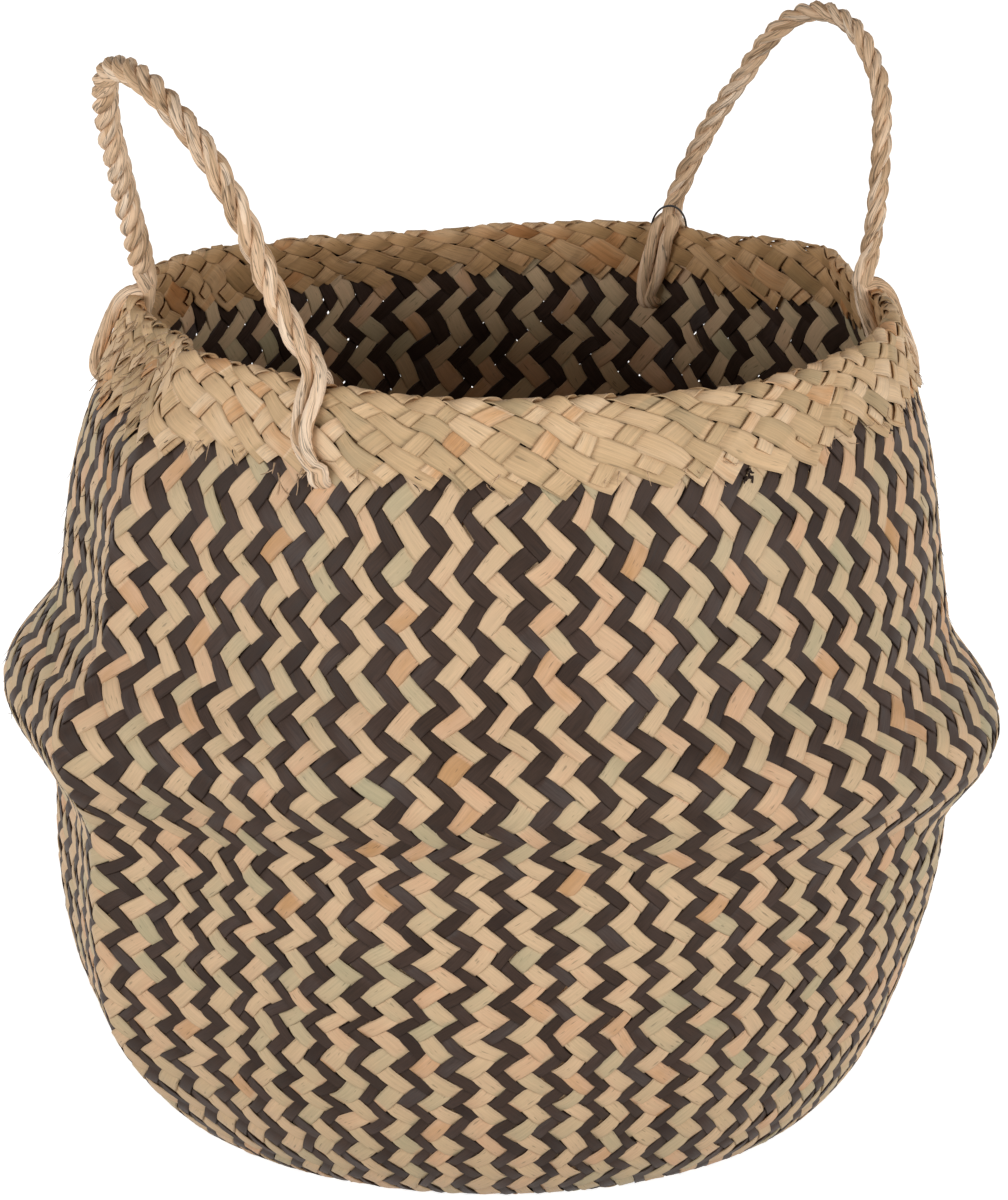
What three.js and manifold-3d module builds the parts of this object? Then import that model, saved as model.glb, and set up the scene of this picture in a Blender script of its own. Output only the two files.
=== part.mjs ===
// Belly basket plaited from flat seagrass strips, with two twisted rope handles.
// Millimetres, +Z up, origin at the centre of the flat base. -Y is the front.
import * as THREE from 'three';
import { mergeVertices } from 'three/addons/utils/BufferGeometryUtils.js';
import Module from 'manifold-3d';

const wasm = await Module();
wasm.setup();

// Body
const wallHeight = 345; // base to the top edge of the plaited wall
const baseRadius = 121; // flat part that stands on the floor
const bellyRadius = 187; // wall at the top of the bowl
const rimRadius = 158; // middle of the wall at the mouth
const wall = 2.2; // two layers of strips
const gap = 0.3; // clearance between pieces that touch
const bowlTop = 131; // height at which the bowl's side stands upright
const bowlPower = 1.76; // 2 makes the bowl's side a quarter ellipse, less makes it flatter
const barrelStart = 190; // height above which the wall leans in to the mouth
const rimShift = 5; // the mouth sits this far to the right of the base
const wallSegments = 48;

// The plait's zigzag columns, drawn broader than the real ones, as shallow ridges
const columnCount = wallSegments / 2;
const columnRelief = 0.8; // out to a ridge, and in to a valley, from the middle of the wall
const columnSwing = 6; // sideways at each row, left and right in turn
const plaitRows = 8; // of each of the three stretches of wall
const plaitTop = 302; // the holes and the border lie on smooth wall
const plaitFade = 14;

// Fold of the belly: the ridge, and the crease under it, at the sides and at the front and back
const creaseSide = 134;
const creaseFront = 157;
const ridgeSide = 177;
const ridgeFront = 190;
const ridgeTilt = 8; // the left side's ridge is this much higher, the right side's lower
const foldSide = 22; // how far the ridge stands out
const foldFront = 14;
const flankHeight = 46; // from the ridge up to where the wall is plain again
const foldFrom = 120; // the stretch of wall that opens when the belly is pulled up
const foldTo = 200;

// Upright edge creases, left from being shipped folded flat
const edgeCreaseAngle = 30; // on a corner of the wall's and the border's facets; the other lies opposite
const edgeCrease = 9.5;
const edgeCreaseWidth = 24; // degrees each side
const edgeFlat = 4; // the wall beside a crease lies this much further in
const edgeFlatWidth = 45;
const edgeAtRim = 0.6; // share of both that is left under the border
const edgeFade = 50; // height over which they lessen, below the border

// Border of folded strips over the top edge
const borderThickness = 1.6;
const borderOutside = 30; // height of the band outside
const borderInside = 22;
const toothCount = 60;
const lowerTooth = 3; // half height of the points along the lower edges
const upperTooth = 0.2;

// Rope handles
const ropeRadius = 5.3;
const ropeValley = 0.26; // share of the radius by which it falls back between strands
const strandCount = 3;
const ropePitch = 30; // one full turn of the lay
const ropeSides = 9;
const ringsPerTurn = 10;
const pivotHeight = ropeRadius + upperTooth + gap; // above the border's top, so that the rope end rests on it
const domeRings = 3;
const leftHeight = 117; // from the feet to the top of the arch
const leftSkew = 7; // the arch's top is this much nearer to the back foot
const leftInset = 3; // the back foot stands this much inside the middle of the wall
const rightHeight = 100;
const rightSkew = -2;
const rightInset = 4; // of the front foot
const handles = [
  { side: 'left', feet: { front: 241, back: 171 }, inset: { front: 0, back: leftInset },
    height: leftHeight, lean: 22, skew: leftSkew },
  { side: 'right', feet: { front: 11, back: 63.5 }, inset: { front: rightInset, back: 0 },
    height: rightHeight, lean: 12, skew: rightSkew },
];
const frontPower = 2.4; // 2 is a half ellipse, less makes a leg straighter
const backPower = 1.4;
const archPoints = 12;

// End loops: strands that tie a rope end through the wall
const strandRadius = 2.3;
const strandSpacing = 5.2; // between the two loops of a foot
const strandSpread = 2; // extra, half way down the border
const loopTip = 1.3; // above the border's top
const tipDrop = 0.6; // the tips stay lower by this share of the foot's inset
const holeDepth = 40.2; // below the wall's top edge, along the wall
const loopSides = 6;
const loopSteps = 16;

// Thin thread ring round one foot
const threadRadius = 0.4;
const threadWidth = 18;
const threadFrontRise = 2.4; // extra height on the mouth's side
const threadBackDrop = 6; // below the wall's top, outside
const threadSteps = 32;
const threadSides = 5;

const degrees = Math.PI / 180;
const wave = (u) => (Math.abs(u) < 1 ? 0.5 + 0.5 * Math.cos(Math.PI * u) : 0);

// The middle of the wall's thickness: radius at an angle and a height
function plainRadius(z) {
  if (z < bowlTop) {
    const rise = (bowlTop - Math.max(z, 0)) / bowlTop;
    return baseRadius + (bellyRadius - baseRadius) * (1 - rise ** bowlPower) ** (1 / bowlPower);
  }
  const lean = Math.max(0, (z - barrelStart) / (wallHeight - barrelStart));
  return bellyRadius - (bellyRadius - rimRadius) * lean ** 1.8;
}

function foldOut(angle, z) {
  const front = Math.sin(angle) ** 2;
  const tilt = ridgeTilt * Math.cos(angle);
  const ridge = ridgeSide + (ridgeFront - ridgeSide) * front - tilt;
  const crease = creaseSide + (creaseFront - creaseSide) * front - tilt / 2;
  const out = foldSide + (foldFront - foldSide) * front;
  const reach = z > ridge ? flankHeight : ridge - crease;
  return out * wave((z - ridge) / reach);
}

function edgeOut(angle, z) {
  const turn = Math.abs((((angle / degrees - edgeCreaseAngle) % 180) + 180) % 180);
  const away = Math.min(turn, 180 - turn);
  const start = THREE.MathUtils.smoothstep(z, 0, bowlTop);
  const border = wallHeight - borderOutside;
  const end = 1 - (1 - edgeAtRim) * THREE.MathUtils.smoothstep(z, border - edgeFade, border);
  const corner = edgeCrease * Math.max(0, 1 - away / edgeCreaseWidth) ** 1.6;
  return start * end * (corner - edgeFlat * wave(away / edgeFlatWidth));
}

// Moves a point of a round wall to its place on the basket
function toBasket(point) {
  const angle = Math.atan2(point.y, point.x);
  const round = Math.hypot(point.x, point.y);
  const share = THREE.MathUtils.clamp(round / baseRadius, 0, 1);
  const radius = round + share * (foldOut(angle, point.z) + edgeOut(angle, point.z));
  const shift = rimShift * (point.z / wallHeight);
  return new THREE.Vector3(radius * Math.cos(angle) + shift, radius * Math.sin(angle), point.z);
}

// The same with the plait's relief; rowAt counts the rows up to a height
function plaited(rowAt) {
  return (point) => {
    const angle = Math.atan2(point.y, point.x);
    const round = Math.hypot(point.x, point.y);
    const low = THREE.MathUtils.smoothstep(point.z, wall, plaitFade);
    const fade = low * (1 - THREE.MathUtils.smoothstep(point.z, plaitTop - plaitFade, plaitTop));
    const out = round + fade * columnRelief * Math.cos(columnCount * angle);
    const swing = fade * columnSwing * Math.cos(Math.PI * rowAt(point.z));
    const turn = angle + swing / Math.max(round, baseRadius);
    return toBasket(new THREE.Vector3(out * Math.cos(turn), out * Math.sin(turn), point.z));
  };
}

// A point of the plain profile, set off from the wall's middle along its normal
function profilePoint(z, out) {
  const step = 0.5;
  const low = Math.max(0, Math.min(z, wallHeight) - step);
  const high = Math.min(wallHeight, low + 2 * step);
  const normal = new THREE.Vector2(high - low, plainRadius(low) - plainRadius(high)).normalize();
  return new THREE.Vector2(plainRadius(z) + out * normal.x, z + out * normal.y);
}

// The same, by the distance below the wall's top edge; negative depths lie above it
function onWall(angle, depth, out, along = 0) {
  const top = profilePoint(wallHeight, 0);
  const below = profilePoint(wallHeight - borderOutside, 0);
  const slant = top.distanceTo(below) / borderOutside;
  const z = wallHeight - Math.max(0, depth) / slant;
  const { x: round, y: height } = profilePoint(z, out);
  const turn = angle + along / round;
  const above = Math.max(0, -depth);
  return toBasket(new THREE.Vector3(round * Math.cos(turn), round * Math.sin(turn), height + above));
}

function solid(geometry) {
  geometry.deleteAttribute('uv');
  geometry.deleteAttribute('normal');
  const merged = mergeVertices(geometry, 1e-4);
  merged.computeVertexNormals();
  return merged;
}

// A turned profile, closed or ending on the axis, bent to the basket's plan
function turned(profile, segments, bend = toBasket) {
  const geometry = solid(new THREE.LatheGeometry(profile, segments).rotateX(Math.PI / 2));
  const place = geometry.getAttribute('position');
  const point = new THREE.Vector3();
  for (let i = 0; i < place.count; i += 1) {
    point.fromBufferAttribute(place, i);
    place.setXYZ(i, ...bend(point).toArray());
  }
  return geometry;
}

function toManifold(geometry) {
  const vertProperties = new Float32Array(geometry.getAttribute('position').array);
  const triVerts = new Uint32Array(geometry.getIndex().array);
  return new wasm.Manifold(new wasm.Mesh({ numProp: 3, vertProperties, triVerts }));
}

function fromManifold(body) {
  const { vertProperties, triVerts } = body.getMesh();
  const geometry = new THREE.BufferGeometry();
  geometry.setAttribute('position', new THREE.BufferAttribute(vertProperties, 3));
  geometry.setIndex(new THREE.BufferAttribute(triVerts, 1));
  geometry.computeVertexNormals();
  return geometry;
}

const natural = { color: 0xd0b384, roughness: 0.75, metalness: 0 };
const twoTone = { color: 0x8f7b62, roughness: 0.7, metalness: 0 };
const rope = { color: 0xb39b76, roughness: 0.8, metalness: 0 };
const thread = { color: 0x1c1b1e, roughness: 0.6, metalness: 0 };

const basket = new THREE.Group();
function add(name, geometry, finish) {
  const mesh = new THREE.Mesh(geometry, new THREE.MeshStandardMaterial(finish));
  mesh.name = name;
  basket.add(mesh);
}

// A stretch of wall between two heights, as a closed ring; crowding above 1 draws rows to the top
function wallRing(from, to, crowding = 1) {
  const heights = Array.from({ length: plaitRows + 1 }, (_, i) => {
    return to - (to - from) * (1 - i / plaitRows) ** crowding;
  });
  const outer = heights.map((z) => new THREE.Vector2(profilePoint(z, wall / 2).x, z));
  const inner = heights.map((z) => new THREE.Vector2(profilePoint(z, -wall / 2).x, z));
  const rowAt = (z) => plaitRows * (1 - (Math.max(0, to - z) / (to - from)) ** (1 / crowding));
  return turned([...outer, ...inner.reverse(), outer[0].clone()], wallSegments, plaited(rowAt));
}

function wovenBowl() {
  const top = foldFrom - gap;
  const crowding = 1.3;
  const outer = [new THREE.Vector2(0, 0)];
  const inner = [new THREE.Vector2(0, wall)];
  for (let i = 0; i <= plaitRows; i += 1) {
    const z = top * (i / plaitRows) ** crowding;
    outer.push(new THREE.Vector2(plainRadius(z) + wall / 2, z));
    inner.push(new THREE.Vector2(plainRadius(z) - wall / 2, Math.max(z, wall)));
  }
  const rowAt = (z) => plaitRows * (Math.max(0, z) / top) ** (1 / crowding);
  return turned([...outer, ...inner.reverse()], wallSegments, plaited(rowAt));
}

function bellyFold() {
  return wallRing(foldFrom, foldTo);
}

function upperWall() {
  const shell = wallRing(foldTo + gap, wallHeight, 1.4);
  let body = toManifold(shell);
  for (const { feet } of handles) {
    for (const angle of Object.values(feet)) {
      body = body.subtract(toManifold(footHole(angle * degrees)));
    }
  }
  return fromManifold(body);
}

// The slot through the wall that both loops of a foot pass
function footHole(angle) {
  const high = strandRadius + 3 * gap;
  const wide = strandSpacing / 2;
  const outline = new THREE.Shape();
  outline.absarc(wide, 0, high, -Math.PI / 2, Math.PI / 2, false);
  outline.absarc(-wide, 0, high, Math.PI / 2, (3 * Math.PI) / 2, false);
  const length = 6 * wall;
  const cutter = new THREE.ExtrudeGeometry(outline, { depth: length, bevelEnabled: false, curveSegments: 5 });
  const out = onWall(angle, holeDepth, length / 2);
  const inside = onWall(angle, holeDepth, -length / 2);
  const across = new THREE.Vector3(-Math.sin(angle), Math.cos(angle), 0);
  const through = out.clone().sub(inside).normalize();
  const frame = new THREE.Matrix4().makeBasis(across, through.clone().cross(across), through);
  cutter.applyMatrix4(frame.setPosition(inside));
  return solid(cutter);
}

// The border's faces, from the middle of the wall, clear of the wall's facets
const facet = rimRadius * (1 - Math.cos(Math.PI / wallSegments));
const near = wall / 2 + 1.5 * gap + facet;
const far = near + borderThickness;

// A band folded over the top edge, with points along its edges
function rimBorder() {
  const toothFrom = Math.min(borderInside, borderOutside) * 0.6;
  const at = (depth, out) => {
    const point = profilePoint(wallHeight - Math.max(0, depth), out);
    return new THREE.Vector2(point.x, wallHeight - depth);
  };
  const profile = [
    at(borderOutside, near), at(borderOutside, far), at(toothFrom, far), at(0, far),
    at(-gap - borderThickness, far * 0.45), at(-gap - borderThickness, -far * 0.45),
    at(0, -far), at(toothFrom, -far), at(borderInside, -far), at(borderInside, -near),
    at(-gap, -near), at(-gap, near),
  ];
  profile.push(profile[0].clone());
  return turned(profile, toothCount * 2, (point) => {
    const tooth = Math.cos(Math.atan2(point.y, point.x) * toothCount);
    const depth = wallHeight - point.z;
    const low = lowerTooth * THREE.MathUtils.smoothstep(depth, toothFrom, borderInside);
    const high = depth < -gap * 2 ? upperTooth : 0;
    const height = point.z + tooth * (low + high);
    const round = Math.hypot(point.x, point.y);
    const follow = (round + plainRadius(height) - plainRadius(point.z)) / round;
    return toBasket(new THREE.Vector3(point.x * follow, point.y * follow, height));
  });
}

const borderTop = wallHeight + gap + borderThickness;

// Where a rope end turns: above the border, over the middle of the wall
function pivot(angle, inset) {
  const point = onWall(angle, 0, -inset);
  return point.setZ(borderTop + pivotHeight);
}

// The centre line of a handle, from its back foot to its front foot
function handleCurve({ feet, inset, height, lean, skew }) {
  const back = pivot(feet.back * degrees, inset.back);
  const front = pivot(feet.front * degrees, inset.front);
  const middle = back.clone().add(front).multiplyScalar(0.5);
  const along = back.clone().sub(front);
  const half = along.length() / 2;
  along.normalize();
  const out = middle.clone().setZ(0).addScaledVector(along, -middle.dot(along)).normalize();
  const up = new THREE.Vector3(0, 0, Math.cos(lean * degrees)).addScaledVector(out, Math.sin(lean * degrees));
  const points = [];
  for (let i = 0; i <= archPoints; i += 1) {
    const turn = (Math.PI * i) / archPoints;
    const power = 2 * turn < Math.PI ? backPower : frontPower;
    const side = Math.sign(Math.cos(turn)) * Math.abs(Math.cos(turn)) ** (2 / power) * half;
    const rise = Math.sin(turn) ** (2 / power);
    points.push(middle.clone().addScaledVector(along, side + skew * rise).addScaledVector(up, rise * height));
  }
  return new THREE.CatmullRomCurve3(points, false, 'centripetal');
}

// A skin over rings of points, pointed at both ends, or joined round where there are no tips
function loft(rings, tips = []) {
  const sides = rings[0].length;
  const points = [...rings.flat(), ...tips];
  const index = [];
  const last = tips.length > 0 ? rings.length - 1 : rings.length;
  const corner = (ring, side) => (ring % rings.length) * sides + (side % sides);
  for (let k = 0; k < sides; k += 1) {
    for (let i = 0; i < last; i += 1) {
      const [a, b, c, d] = [corner(i, k), corner(i, k + 1), corner(i + 1, k + 1), corner(i + 1, k)];
      index.push(a, b, c, a, c, d);
    }
    if (tips.length > 0) {
      const tip = points.length - 2;
      index.push(tip, corner(0, k + 1), corner(0, k), tip + 1, corner(last, k), corner(last, k + 1));
    }
  }
  const geometry = new THREE.BufferGeometry().setFromPoints(points);
  geometry.setIndex(index);
  geometry.computeVertexNormals();
  return geometry;
}

// Three-lobed rope, turned as it runs, with a round end over each foot
function handleRope(handle) {
  const curve = handleCurve(handle);
  const length = curve.getLength();
  const rings = Math.round((length / ropePitch) * ringsPerTurn);
  const { tangents, normals, binormals } = curve.computeFrenetFrames(rings, false);
  const ringAt = (centre, frame, distance, scale) => {
    const lay = (2 * Math.PI * distance) / ropePitch;
    return Array.from({ length: ropeSides }, (_, k) => {
      const around = (2 * Math.PI * (k + 0.5)) / ropeSides;
      const valley = (ropeValley * (0.5 - Math.cos(strandCount * around))) / 1.5;
      const spoke = ropeRadius * (1 - valley) * scale;
      const point = centre.clone().addScaledVector(normals[frame], spoke * Math.cos(around + lay));
      return point.addScaledVector(binormals[frame], spoke * Math.sin(around + lay));
    });
  };
  const domeEnd = (frame, sign) => {
    const centre = curve.getPointAt(frame / rings);
    const dome = Array.from({ length: domeRings }, (_, i) => {
      const turn = ((i + 1) * Math.PI) / 2 / (domeRings + 1);
      const back = sign * ropeRadius * Math.sin(turn);
      const place = centre.clone().addScaledVector(tangents[frame], back);
      return ringAt(place, frame, (length * frame) / rings + back, Math.cos(turn));
    });
    return sign < 0 ? dome.reverse() : dome;
  };
  const body = Array.from({ length: rings + 1 }, (_, i) => {
    return ringAt(curve.getPointAt(i / rings), i, (length * i) / rings, 1);
  });
  const tips = [
    curve.getPointAt(0).addScaledVector(tangents[0], -ropeRadius),
    curve.getPointAt(1).addScaledVector(tangents[rings], ropeRadius),
  ];
  return loft([...domeEnd(0, -1), ...body, ...domeEnd(rings, 1)], tips);
}

function tube(curve, radius, sides, steps) {
  const outline = new THREE.Shape();
  for (let k = 0; k < sides; k += 1) {
    const around = (2 * Math.PI * k) / sides;
    const place = [radius * Math.cos(around), radius * Math.sin(around)];
    if (k === 0) outline.moveTo(...place);
    else outline.lineTo(...place);
  }
  outline.closePath();
  return solid(new THREE.ExtrudeGeometry(outline, { steps, extrudePath: curve, bevelEnabled: false }));
}

// One strand loop: down outside the border, round through the slot, up inside; inset is the foot's
function endLoop(angle, inset, sign) {
  const reach = far + 2 * gap + strandRadius;
  const turnDepth = holeDepth - reach;
  const beside = (sign * strandSpacing) / 2;
  const tipHeight = borderTop + loopTip - tipDrop * inset;
  const tip = (out) => onWall(angle, 0, out + Math.sign(out) * gap, beside).setZ(tipHeight);
  const spread = beside + sign * strandSpread;
  const points = [];
  const leg = (side) => [
    tip(side * reach), onWall(angle, gap, side * reach, beside),
    onWall(angle, turnDepth * 0.3, side * reach, spread),
    onWall(angle, turnDepth * 0.7, side * reach, spread * 0.9),
  ];
  const bends = 6;
  points.push(...leg(1));
  for (let i = 0; i <= bends; i += 1) {
    const turn = (Math.PI * i) / bends;
    points.push(onWall(angle, turnDepth + reach * Math.sin(turn), reach * Math.cos(turn), beside));
  }
  points.push(...leg(-1).reverse());
  return tube(new THREE.CatmullRomCurve3(points), strandRadius, loopSides, loopSteps);
}

// A closed ring that lies over the border on both sides of a foot and hangs behind it
function threadRing(angle) {
  const reach = far + 7 * gap + 2 * strandRadius + threadRadius;
  const rest = borderTop - wallHeight + upperTooth + gap + threadRadius;
  const points = [];
  const count = 16;
  for (let i = 0; i < count; i += 1) {
    const turn = (2 * Math.PI * i) / count;
    const out = Math.cos(turn);
    const drop = (rest + threadBackDrop) * THREE.MathUtils.smoothstep(out, 0.45, 1);
    const rise = threadFrontRise * Math.max(0, -out);
    points.push(onWall(angle, drop - rest - rise, reach * out, (threadWidth / 2) * Math.sin(turn)));
  }
  const curve = new THREE.CatmullRomCurve3(points, true);
  const { normals, binormals } = curve.computeFrenetFrames(threadSteps, true);
  const rings = Array.from({ length: threadSteps }, (_, i) => {
    const centre = curve.getPointAt(i / threadSteps);
    return Array.from({ length: threadSides }, (_, k) => {
      const around = (2 * Math.PI * k) / threadSides;
      const point = centre.clone().addScaledVector(normals[i], threadRadius * Math.cos(around));
      return point.addScaledVector(binormals[i], threadRadius * Math.sin(around));
    });
  });
  return loft(rings);
}

add('woven_bowl', wovenBowl(), twoTone);
add('belly_fold', bellyFold(), twoTone);
add('upper_wall', upperWall(), twoTone);
add('rim_border', rimBorder(), natural);
for (const handle of handles) {
  add(`${handle.side}_handle_rope`, handleRope(handle), rope);
  for (const [foot, angle] of Object.entries(handle.feet)) {
    add(`${handle.side}_${foot}_loop_a`, endLoop(angle * degrees, handle.inset[foot], 1), rope);
    add(`${handle.side}_${foot}_loop_b`, endLoop(angle * degrees, handle.inset[foot], -1), rope);
  }
}
add('thread_ring', threadRing(handles[1].feet.back * degrees), thread);

export default basket;
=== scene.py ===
# Belly basket plaited from natural and dyed seagrass strips, with two twisted rope handles.
# Metres, +Z up, -Y is the front. The dictionaries hold millimetres, unless a note says otherwise.
import itertools

import bpy
import numpy as np
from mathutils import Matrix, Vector


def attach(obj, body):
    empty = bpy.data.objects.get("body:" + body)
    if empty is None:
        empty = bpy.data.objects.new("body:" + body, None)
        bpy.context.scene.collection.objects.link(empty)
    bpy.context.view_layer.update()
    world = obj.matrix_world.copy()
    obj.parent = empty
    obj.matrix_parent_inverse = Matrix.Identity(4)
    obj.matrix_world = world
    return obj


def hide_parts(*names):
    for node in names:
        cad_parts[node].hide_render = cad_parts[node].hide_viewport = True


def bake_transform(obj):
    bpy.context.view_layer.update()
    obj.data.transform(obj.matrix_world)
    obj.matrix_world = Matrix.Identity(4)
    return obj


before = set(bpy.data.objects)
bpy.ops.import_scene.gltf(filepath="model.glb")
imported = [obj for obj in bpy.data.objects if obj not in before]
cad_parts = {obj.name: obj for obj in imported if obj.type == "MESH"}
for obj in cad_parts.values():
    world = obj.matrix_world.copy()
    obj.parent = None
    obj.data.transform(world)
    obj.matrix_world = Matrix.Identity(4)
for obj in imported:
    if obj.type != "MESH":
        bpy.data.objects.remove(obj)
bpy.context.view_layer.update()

mm = 0.001
turn = 2 * np.pi
scene = bpy.context.scene
print("frame loaded")

# Camera, at the photograph's height and angle
camera = {"target": (3.5, 0, 218), "elevation": 16, "distance": 2800, "lens": 200, "sensor": 36}
rise = np.radians(camera["elevation"])
towardCamera = Vector((0, -np.cos(rise), np.sin(rise)))
cameraData = bpy.data.cameras.new("camera")
cameraData.lens = camera["lens"]
cameraData.sensor_width = camera["sensor"]
cameraData.sensor_fit = "AUTO"
cameraData.clip_end = 20
cameraObject = bpy.data.objects.new("camera", cameraData)
cameraObject.location = (Vector(camera["target"]) + towardCamera * camera["distance"]) * mm
cameraObject.rotation_euler = (-towardCamera).to_track_quat("-Z", "Y").to_euler()
scene.collection.objects.link(cameraObject)
scene.camera = cameraObject


# Adds one node with its settings and its inputs, in order; None leaves an input as it is
def addNode(tree, kind, *values, named=None, **settings):
    node = tree.nodes.new(kind)
    for key, value in settings.items():
        setattr(node, key, value)
    for key, value in [*enumerate(values), *(named or {}).items()]:
        if isinstance(value, bpy.types.NodeSocket):
            tree.links.new(value, node.inputs[key])
        elif value is not None:
            node.inputs[key].default_value = value
    return node.outputs


# A geometry tree with named inputs; sockets lists their names under each type
def newTree(name, sockets):
    tree = bpy.data.node_groups.new(name, "GeometryNodeTree")
    tree.is_modifier = True
    tree.interface.new_socket(name="Geometry", in_out="INPUT", socket_type="NodeSocketGeometry")
    for kind, labels in sockets.items():
        for label in labels:
            tree.interface.new_socket(name=label, in_out="INPUT", socket_type="NodeSocket" + kind)
    tree.interface.new_socket(name="Geometry", in_out="OUTPUT", socket_type="NodeSocketGeometry")
    return tree, tree.nodes.new("NodeGroupInput").outputs


# Runs a tree on a mesh or curve and keeps the result as a plain smooth mesh
def grow(name, data, tree, **values):
    source = bpy.data.objects.new(name + "Source", data)
    scene.collection.objects.link(source)
    modifier = source.modifiers.new("grow", "NODES")
    modifier.node_group = tree
    for socket in tree.interface.items_tree:
        if socket.in_out == "INPUT" and socket.name in values:
            modifier[socket.identifier] = values[socket.name]
    bpy.context.view_layer.update()
    evaluated = source.evaluated_get(bpy.context.evaluated_depsgraph_get())
    mesh = bpy.data.meshes.new_from_object(evaluated)
    bpy.data.objects.remove(source)
    mesh.name = name
    mesh.polygons.foreach_set("use_smooth", np.ones(len(mesh.polygons), bool))
    piece = bpy.data.objects.new(name, mesh)
    scene.collection.objects.link(piece)
    print(name, sum(len(face.vertices) - 2 for face in mesh.polygons), "triangles")
    return piece


# The basket's form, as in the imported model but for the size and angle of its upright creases
body = {
    "height": 345, "baseRadius": 121, "bellyRadius": 187, "rimRadius": 158,
    "bowlTop": 131, "bowlPower": 1.76, "barrelStart": 190, "barrelPower": 1.8, "rimShift": 5,
    "creaseSide": 134, "creaseFront": 157, "ridgeSide": 177, "ridgeFront": 190, "ridgeTilt": 8,
    "foldSide": 22, "foldFront": 14, "flankHeight": 46,
    # upright creases at two corners, left from being shipped flat; the wall beside them lies flatter
    "edgeAngle": 34, "edge": 16, "edgeWidth": 20, "edgePower": 1.8, "edgeFlat": 5.5,
    "edgeFlatWidth": 45, "edgeAtRim": 0.6, "edgeGrows": (0, 70), "edgeEases": (265, 315),
    "shoulder": 3.0, "shoulderHeight": 285, "shoulderReach": 55,  # at both sides
    "pinch": 15, "pinchAngle": 199, "pinchWidth": 34,  # the border leans in between the left feet
    "bowlShift": 2.4, "bowlShiftHeight": 75,  # the bowl hangs to the left
    "slant": 0.955,  # rise in height for each millimetre up along the wall near the top
    # how uneven the wall is; each dent has its waves around, its phase and its change with height
    "dent": 1.1, "dentPeak": 2.4,
    "dents": ((5, 0.4, 0.021), (8, 2.2, -0.034), (11, 4.1, 0.05), (3, 1.3, 0.013)),
}


def wave(u):
    return np.where(np.abs(u) < 1, 0.5 + 0.5 * np.cos(np.pi * u), 0)


def smoothstep(x, low, high):
    t = np.clip((x - low) / (high - low), 0, 1)
    return t * t * (3 - 2 * t)


# The plain round wall, before its fold, creases and dents
def plainRadius(z):
    b = body
    power = b["bowlPower"]
    fall = np.clip((b["bowlTop"] - z) / b["bowlTop"], 0, 1)
    bowl = b["baseRadius"] + (b["bellyRadius"] - b["baseRadius"]) * (1 - fall ** power) ** (1 / power)
    lean = np.clip((z - b["barrelStart"]) / (b["height"] - b["barrelStart"]), 0, 1.1)
    barrel = b["bellyRadius"] - (b["bellyRadius"] - b["rimRadius"]) * lean ** b["barrelPower"]
    return np.where(z < b["bowlTop"], bowl, barrel)


# The place of an angle, a plain radius and a height on the real, uneven basket
def toBasket(angle, radius, z):
    b = body
    front = np.sin(angle) ** 2
    tilt = b["ridgeTilt"] * np.cos(angle)
    ridge = b["ridgeSide"] + (b["ridgeFront"] - b["ridgeSide"]) * front - tilt
    crease = b["creaseSide"] + (b["creaseFront"] - b["creaseSide"]) * front - tilt / 2
    out = b["foldSide"] + (b["foldFront"] - b["foldSide"]) * front
    fold = out * wave((z - ridge) / np.where(z > ridge, b["flankHeight"], ridge - crease))
    away = (np.degrees(angle) - b["edgeAngle"]) % 180
    away = np.minimum(away, 180 - away)
    corner = b["edge"] * np.clip(1 - away / b["edgeWidth"], 0, 1) ** b["edgePower"]
    corner = corner * smoothstep(z, *b["edgeGrows"])
    flat = b["edgeFlat"] * wave(away / b["edgeFlatWidth"]) * smoothstep(z, 0, b["bowlTop"])
    edge = (corner - flat) * (1 - (1 - b["edgeAtRim"]) * smoothstep(z, *b["edgeEases"]))
    dents = sum(np.sin(k * angle + phase + z * pace) for k, phase, pace in b["dents"]) / b["dentPeak"]
    dents = dents * b["dent"] * smoothstep(z, 5, 60) * (1 - 0.6 * smoothstep(z, 290, 330))
    shoulder = b["shoulder"] * wave((z - b["shoulderHeight"]) / b["shoulderReach"]) * np.cos(angle) ** 2
    turned = (np.degrees(angle) - b["pinchAngle"] + 180) % 360 - 180
    pinch = b["pinch"] * wave(turned / b["pinchWidth"]) * smoothstep(z, 300, b["height"])
    share = np.clip(radius / b["baseRadius"], 0, 1)
    radius = radius + share * (fold + edge) + dents + shoulder - pinch
    hang = b["bowlShift"] * wave((z - b["bowlShiftHeight"]) / b["bowlShiftHeight"])
    aside = b["rimShift"] * z / b["height"] - hang
    place = (radius * np.cos(angle) + aside, radius * np.sin(angle), z)
    return np.stack(np.broadcast_arrays(*place), -1)


# A point set off from the wall's middle, by its distance below the top edge
def onWall(angle, depth, out, along=0.0):
    z = body["height"] - np.maximum(depth, 0) * body["slant"]
    slope = plainRadius(z + 0.5) - plainRadius(z - 0.5)
    radius = plainRadius(z) + out
    return toBasket(angle + along / radius, radius, z + np.maximum(-depth, 0) - out * slope)


# A grid of points as a smooth mesh, with a UV map
def gridMesh(name, points, uv):
    rows, columns = points.shape[:2]
    index = np.arange(rows * columns).reshape(rows, columns)
    faces = np.stack([index[:-1, :-1], index[:-1, 1:], index[1:, 1:], index[1:, :-1]], -1).reshape(-1, 4)
    mesh = bpy.data.meshes.new(name)
    mesh.from_pydata((points.reshape(-1, 3) * mm).tolist(), [], faces.tolist())
    mesh.polygons.foreach_set("use_smooth", np.ones(len(faces), bool))
    layer = mesh.uv_layers.new(name="UVMap")
    layer.data.foreach_set("uv", uv.reshape(-1, 2)[faces.ravel()].astype(np.float32).ravel())
    guide = bpy.data.objects.new(name, mesh)
    scene.collection.objects.link(guide)
    return guide


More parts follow.
